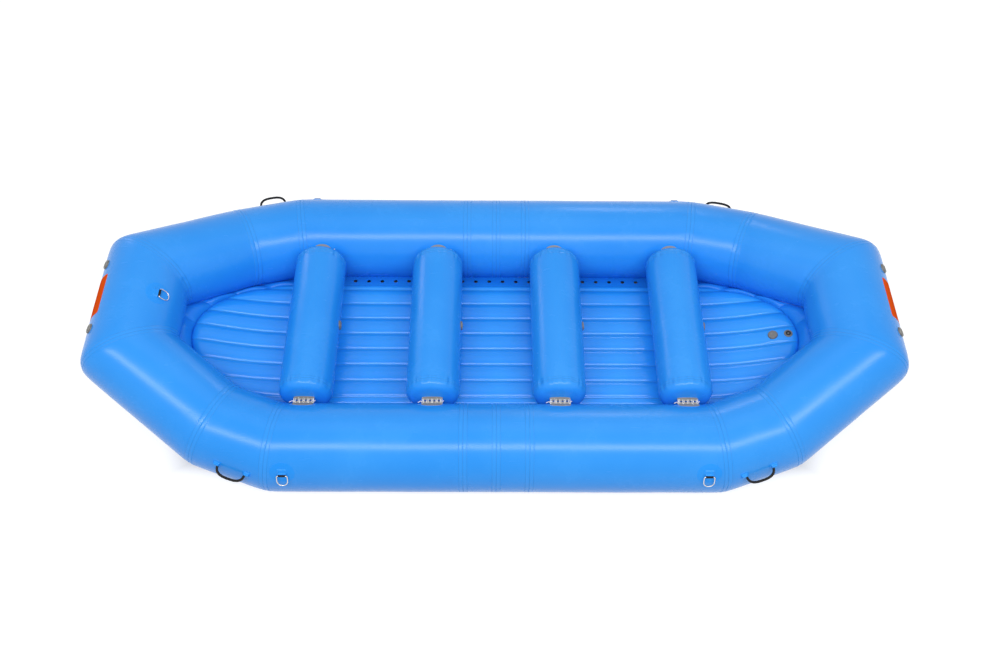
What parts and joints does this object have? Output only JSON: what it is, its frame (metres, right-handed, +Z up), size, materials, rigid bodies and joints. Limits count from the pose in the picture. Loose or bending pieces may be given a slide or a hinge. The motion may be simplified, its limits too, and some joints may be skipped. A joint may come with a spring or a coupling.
{
  "type": "whitewater raft",
  "caption": "Self-bailing inflatable whitewater raft with raised bow and stern, cross thwarts laced to the side tubes, a channelled floor, valves, D-rings and carry handles.",
  "frame": {"origin": "under the middle of the hull, level with the undersides of the two side tubes", "axes": "+X to the stern, the end with the floor's two valves; -X to the bow, the end with the inner D-ring; +Y to starboard; +Z up"},
  "size_m": [4.878, 2.1336, 0.766],
  "materials": {
    "hull_blue": "satin",
    "floor_blue": "satin",
    "flange_blue": "matte",
    "baffle_fabric": "matte",
    "lacing_grey": "matte",
    "valve_grey": "matte",
    "valve_black": "matte",
    "stainless": "polished",
    "black_webbing": "matte",
    "handle_black": "matte"
  },
  "bodies": {
    "hull": {"chamber_bow_port": "hull_blue", "chamber_bow_starboard": "hull_blue", "chamber_stern_port": "hull_blue", "chamber_stern_starboard": "hull_blue", "bulkhead_bow": "baffle_fabric", "bulkhead_stern": "baffle_fabric", "bulkhead_port": "baffle_fabric", "bulkhead_starboard": "baffle_fabric", "thwart_1": "hull_blue", "thwart_2": "hull_blue", "thwart_3": "hull_blue", "thwart_4": "hull_blue", "thwart_tab_port_1": "lacing_grey", "thwart_tab_port_2": "lacing_grey", "thwart_tab_port_3": "lacing_grey", "thwart_tab_port_4": "lacing_grey", "thwart_tab_starboard_1": "lacing_grey", "thwart_tab_starboard_2": "lacing_grey", "thwart_tab_starboard_3": "lacing_grey", "thwart_tab_starboard_4": "lacing_grey", "floor": "floor_blue", "floor_flange": "flange_blue", "valve_bow_port": "valve_grey", "valve_bow_starboard": "valve_grey", "valve_stern_port": "valve_grey", "valve_stern_starboard": "valve_grey", "thwart_valve_1": "valve_grey", "thwart_valve_2": "valve_grey", "thwart_valve_3": "valve_grey", "thwart_valve_4": "valve_grey", "floor_valve": "valve_grey", "relief_valve": "valve_grey", "webbing_bow_port": "black_webbing", "webbing_bow_starboard": "black_webbing", "webbing_stern_port": "black_webbing", "webbing_stern_starboard": "black_webbing", "webbing_bow": "black_webbing"},
    "cap_bow_port": {"cap_bow_port": "valve_grey"},
    "poppet_bow_port": {"poppet_bow_port": "valve_black"},
    "cap_bow_starboard": {"cap_bow_starboard": "valve_grey"},
    "poppet_bow_starboard": {"poppet_bow_starboard": "valve_black"},
    "cap_stern_port": {"cap_stern_port": "valve_grey"},
    "poppet_stern_port": {"poppet_stern_port": "valve_black"},
    "cap_stern_starboard": {"cap_stern_starboard": "valve_grey"},
    "poppet_stern_starboard": {"poppet_stern_starboard": "valve_black"},
    "thwart_cap_1": {"thwart_cap_1": "valve_grey"},
    "thwart_cap_2": {"thwart_cap_2": "valve_grey"},
    "thwart_cap_3": {"thwart_cap_3": "valve_grey"},
    "thwart_cap_4": {"thwart_cap_4": "valve_grey"},
    "floor_cap": {"floor_cap": "valve_grey"},
    "floor_poppet": {"floor_poppet": "valve_black"},
    "ring_bow_port": {"ring_bow_port": "stainless"},
    "ring_bow_starboard": {"ring_bow_starboard": "stainless"},
    "ring_stern_port": {"ring_stern_port": "stainless"},
    "ring_stern_starboard": {"ring_stern_starboard": "stainless"},
    "ring_bow": {"ring_bow": "stainless"},
    "handle_bow_port": {"handle_bow_port": "handle_black"},
    "handle_bow_starboard": {"handle_bow_starboard": "handle_black"},
    "handle_stern_port": {"handle_stern_port": "handle_black"},
    "handle_stern_starboard": {"handle_stern_starboard": "handle_black"}
  },
  "joints": [
    {"name": "cap_bow_port_turn", "type": "hinge", "parent": "hull", "child": "cap_bow_port", "pos_m": [-2.37853, -0.235, 0.67368], "axis": [-0.766, 0, 0.6428], "range_deg": [0, 90]},
    {"name": "poppet_bow_port_press", "type": "slide", "parent": "hull", "child": "poppet_bow_port", "axis": [0.766, 0, -0.6428], "range_m": [0, 0.005], "stiffness_N_per_m": 300},
    {"name": "cap_bow_starboard_turn", "type": "hinge", "parent": "hull", "child": "cap_bow_starboard", "pos_m": [-2.37853, 0.235, 0.67368], "axis": [-0.766, 0, 0.6428], "range_deg": [0, 90]},
    {"name": "poppet_bow_starboard_press", "type": "slide", "parent": "hull", "child": "poppet_bow_starboard", "axis": [0.766, 0, -0.6428], "range_m": [0, 0.005], "stiffness_N_per_m": 300},
    {"name": "cap_stern_port_turn", "type": "hinge", "parent": "hull", "child": "cap_stern_port", "pos_m": [2.37853, -0.235, 0.67368], "axis": [0.766, 0, 0.6428], "range_deg": [0, 90]},
    {"name": "poppet_stern_port_press", "type": "slide", "parent": "hull", "child": "poppet_stern_port", "axis": [-0.766, 0, -0.6428], "range_m": [0, 0.005], "stiffness_N_per_m": 300},
    {"name": "cap_stern_starboard_turn", "type": "hinge", "parent": "hull", "child": "cap_stern_starboard", "pos_m": [2.37853, 0.235, 0.67368], "axis": [0.766, 0, 0.6428], "range_deg": [0, 90]},
    {"name": "poppet_stern_starboard_press", "type": "slide", "parent": "hull", "child": "poppet_stern_starboard", "axis": [-0.766, 0, -0.6428], "range_m": [0, 0.005], "stiffness_N_per_m": 300},
    {"name": "thwart_cap_1_turn", "type": "hinge", "parent": "hull", "child": "thwart_cap_1", "pos_m": [-0.97857, 0, 0.37501], "axis": [1, 0, 0], "range_deg": [0, 90]},
    {"name": "thwart_cap_2_turn", "type": "hinge", "parent": "hull", "child": "thwart_cap_2", "pos_m": [-0.22157, 0, 0.37501], "axis": [1, 0, 0], "range_deg": [0, 90]},
    {"name": "thwart_cap_3_turn", "type": "hinge", "parent": "hull", "child": "thwart_cap_3", "pos_m": [0.53543, 0, 0.37501], "axis": [1, 0, 0], "range_deg": [0, 90]},
    {"name": "thwart_cap_4_turn", "type": "hinge", "parent": "hull", "child": "thwart_cap_4", "pos_m": [1.29243, 0, 0.37501], "axis": [1, 0, 0], "range_deg": [0, 90]},
    {"name": "floor_cap_turn", "type": "hinge", "parent": "hull", "child": "floor_cap", "pos_m": [1.75493, 0, 0.28537], "axis": [-0.278, 0, 0.9606], "range_deg": [0, 90]},
    {"name": "floor_poppet_press", "type": "slide", "parent": "hull", "child": "floor_poppet", "axis": [0.278, 0, -0.9606], "range_m": [0, 0.005], "stiffness_N_per_m": 300},
    {"name": "ring_bow_port_turn", "type": "hinge", "parent": "hull", "child": "ring_bow_port", "pos_m": [-1.215, -1.03467, 0.37655], "axis": [-1, 0, 0], "range_deg": [-14, 150]},
    {"name": "ring_bow_starboard_turn", "type": "hinge", "parent": "hull", "child": "ring_bow_starboard", "pos_m": [-1.215, 1.03467, 0.37655], "axis": [1, 0, 0], "range_deg": [-14, 150]},
    {"name": "ring_stern_port_turn", "type": "hinge", "parent": "hull", "child": "ring_stern_port", "pos_m": [1.215, -1.03467, 0.37655], "axis": [-1, 0, 0], "range_deg": [-14, 150]},
    {"name": "ring_stern_starboard_turn", "type": "hinge", "parent": "hull", "child": "ring_stern_starboard", "pos_m": [1.215, 1.03467, 0.37655], "axis": [1, 0, 0], "range_deg": [-14, 150]},
    {"name": "ring_bow_turn", "type": "hinge", "parent": "hull", "child": "ring_bow", "pos_m": [-2.003, 0, 0.7117], "axis": [0, -1, 0], "range_deg": [0, 165]},
    {"name": "handle_bow_port_turn", "type": "hinge", "parent": "hull", "child": "handle_bow_port", "pos_m": [-1.51132, -0.98542, 0.35836], "axis": [-0.945, 0.3099, 0.1042], "range_deg": [-35, 125]},
    {"name": "handle_bow_starboard_turn", "type": "hinge", "parent": "hull", "child": "handle_bow_starboard", "pos_m": [-1.51132, 0.98542, 0.35836], "axis": [0.945, 0.3099, -0.1042], "range_deg": [-100, 60]},
    {"name": "handle_stern_port_turn", "type": "hinge", "parent": "hull", "child": "handle_stern_port", "pos_m": [1.51132, -0.98542, 0.35836], "axis": [-0.945, -0.3099, -0.1042], "range_deg": [-35, 125]},
    {"name": "handle_stern_starboard_turn", "type": "hinge", "parent": "hull", "child": "handle_stern_starboard", "pos_m": [1.51132, 0.98542, 0.35836], "axis": [0.945, -0.3099, 0.1042], "range_deg": [-60, 100]}
  ]
}
